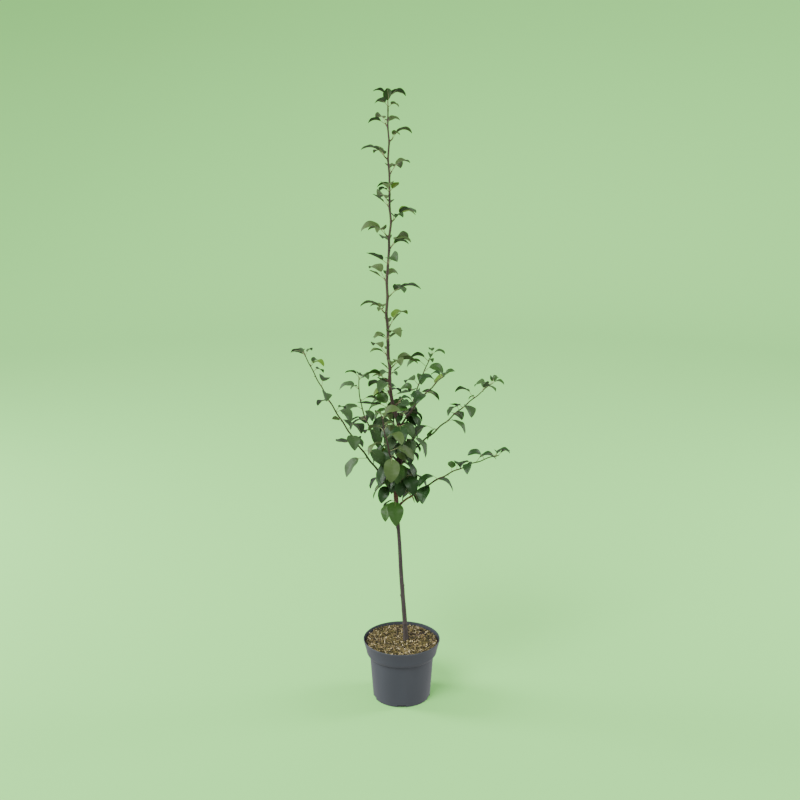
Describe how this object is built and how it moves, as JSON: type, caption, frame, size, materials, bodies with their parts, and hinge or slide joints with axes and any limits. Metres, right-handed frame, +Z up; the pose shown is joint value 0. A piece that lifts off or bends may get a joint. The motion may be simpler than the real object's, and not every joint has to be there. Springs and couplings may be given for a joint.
{
  "type": "potted pear tree",
  "caption": "Young pear tree in a round plastic nursery pot: slim swaying trunk with a tall leader, slender rising boughs, a dense lower crown of hanging leaves and leaf clusters up the leader.",
  "frame": {"origin": "centre of the pot's flat underside", "axes": "+Z up the trunk, -Y the front, +X to the right seen from the front"},
  "size_m": [0.3714, 0.2409, 1.0965],
  "materials": {
    "pot_plastic": "slate grey moulded nursery-pot plastic with a slight sheen",
    "soil_and_bark": "dark potting soil topped with fine golden and olive shredded bark",
    "trunk_bark": "grey-brown to reddish-brown young pear bark with fine pale lenticels",
    "shoot_bark": "smooth reddish-brown to olive bark of young boughs",
    "foliage": "glossy dark green leaves, paler green below, on thin shoots"
  },
  "bodies": {
    "root": {"bough_back": "shoot_bark", "bough_front": "shoot_bark", "bough_left_long": "shoot_bark", "bough_left_short": "shoot_bark", "bough_right_long": "shoot_bark", "bough_right_low": "shoot_bark", "bough_right_steep": "shoot_bark", "bough_right_upper": "shoot_bark", "crown_cluster_01": "foliage", "crown_cluster_02": "foliage", "crown_cluster_03": "foliage", "crown_cluster_04": "foliage", "crown_cluster_05": "foliage", "crown_cluster_06": "foliage", "crown_cluster_07": "foliage", "crown_cluster_08": "foliage", "crown_cluster_09": "foliage", "crown_cluster_10": "foliage", "crown_cluster_11": "foliage", "crown_cluster_12": "foliage", "crown_cluster_13": "foliage", "crown_cluster_14": "foliage", "crown_cluster_15": "foliage", "crown_cluster_16": "foliage", "leader_cluster_01": "foliage", "leader_cluster_02": "foliage", "leader_cluster_03": "foliage", "leader_cluster_04": "foliage", "leader_cluster_05": "foliage", "leader_cluster_06": "foliage", "leader_cluster_07": "foliage", "leader_cluster_08": "foliage", "leader_cluster_09": "foliage", "leader_cluster_10": "foliage", "leader_cluster_11": "foliage", "leader_cluster_12": "foliage", "leader_cluster_13": "foliage", "leader_cluster_14": "foliage", "leader_cluster_15": "foliage", "leader_cluster_16": "foliage", "leader_cluster_17": "foliage", "leader_cluster_18": "foliage", "leader_cluster_19": "foliage", "leader_tip": "foliage", "pot": "pot_plastic", "shoot_back": "foliage", "shoot_front": "foliage", "shoot_left_long": "foliage", "shoot_left_short": "foliage", "shoot_right_long": "foliage", "shoot_right_low": "foliage", "shoot_right_steep": "foliage", "shoot_right_upper": "foliage", "soil": "soil_and_bark", "trunk": "trunk_bark"}
  },
  "joints": []
}
